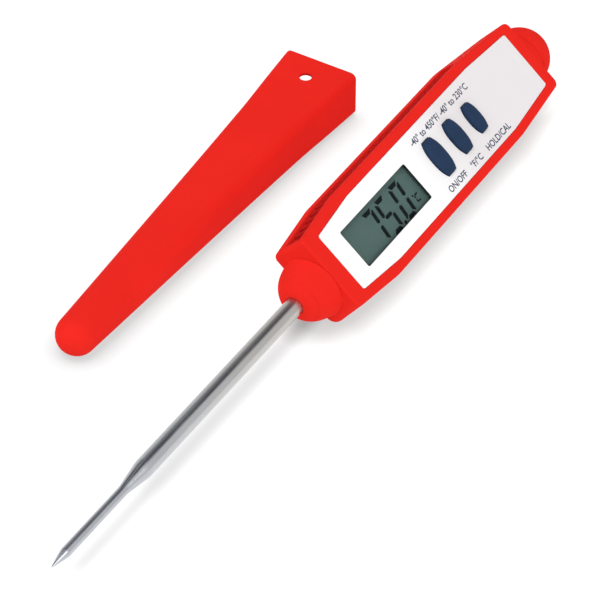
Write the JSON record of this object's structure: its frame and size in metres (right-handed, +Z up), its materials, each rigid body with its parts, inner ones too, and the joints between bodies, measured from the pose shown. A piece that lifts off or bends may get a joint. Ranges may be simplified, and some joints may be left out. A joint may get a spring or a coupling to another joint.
{
  "type": "meat thermometer",
  "caption": "Digital pocket probe thermometer with a faceted waterproof case, display, keys, stepped steel probe, screw-in cell cap and a slip-on sheath lying beside it.",
  "frame": {"origin": "on the rear right facet that the thermometer lies on, straight below the probe axis, near the middle of the case", "axes": "+X along the probe axis from the tip towards the cell cap, +Z up from the surface it lies on, so the face leans 40 degrees over towards -Y"},
  "size_m": [0.1579, 0.0483, 0.0181],
  "materials": {
    "red_plastic": "satin moulded",
    "dark_red_rubber": "matt",
    "white_label": "printed film",
    "clear_lens": "clear",
    "display_glass": "grey green",
    "display_ink": "dark",
    "display_foil": "satin",
    "ivory_plastic": "moulded",
    "black_rubber": "matt",
    "board_green": "solder mask",
    "black_plastic": "moulded",
    "ceramic": "fired",
    "plated_steel": "plated",
    "navy_rubber": "satin",
    "stainless": "fine ground",
    "contact_brass": "bright"
  },
  "bodies": {
    "root": {"case_body": "red_plastic", "front_bezel": "red_plastic", "case_gasket": "dark_red_rubber", "label_overlay": "white_label", "lens_window": "clear_lens", "lcd_glass": "display_glass", "lcd_segments": "display_ink", "lcd_reflector": "display_foil", "lcd_frame": "ivory_plastic", "zebra_strips": "black_rubber", "circuit_board": "board_green", "controller_chip": "black_plastic", "smd_parts": "ceramic", "timing_crystal": "plated_steel", "board_screws": "plated_steel", "key_domes": "plated_steel", "key_retainer": "ivory_plastic", "probe_stem": "stainless", "thermistor_bead": "black_plastic", "sensor_leads": "contact_brass", "probe_bushing": "contact_brass", "probe_o_ring": "black_rubber", "probe_collar": "plated_steel", "contact_spring": "contact_brass", "contact_tab": "contact_brass"},
    "on_off": {"key_on_off": "navy_rubber"},
    "unit": {"key_unit": "navy_rubber"},
    "hold": {"key_hold": "navy_rubber"},
    "cell": {"button_cell": "plated_steel", "cap_o_ring": "black_rubber"},
    "cap": {"battery_cap": "red_plastic"},
    "sheath": {"sheath": "red_plastic"}
  },
  "joints": [
    {"name": "on_off_press", "type": "slide", "parent": "root", "child": "on_off", "axis": [0, 0.6428, -0.766], "range_m": [0, 0.0006], "stiffness_N_per_m": 1500},
    {"name": "unit_press", "type": "slide", "parent": "root", "child": "unit", "axis": [0, 0.6428, -0.766], "range_m": [0, 0.0006], "stiffness_N_per_m": 1500},
    {"name": "hold_press", "type": "slide", "parent": "root", "child": "hold", "axis": [0, 0.6428, -0.766], "range_m": [0, 0.0006], "stiffness_N_per_m": 1500},
    {"name": "cell_slide", "type": "slide", "parent": "root", "child": "cell", "axis": [1, 0, 0], "range_m": [0, 0.0036]},
    {"name": "cap_turn", "type": "hinge", "parent": "cell", "child": "cap", "pos_m": [0.04, 0, 0.00761], "axis": [1, 0, 0], "range_deg": [0, 1080]},
    {"name": "sheath_slide", "type": "slide", "parent": "root", "child": "sheath", "axis": [1, 0, 0], "range_m": [-0.08, 0]}
  ],
  "couplings": [
    {"joint": "cap_turn", "follows": "cell_slide", "rad_per_m": 5236}
  ]
}
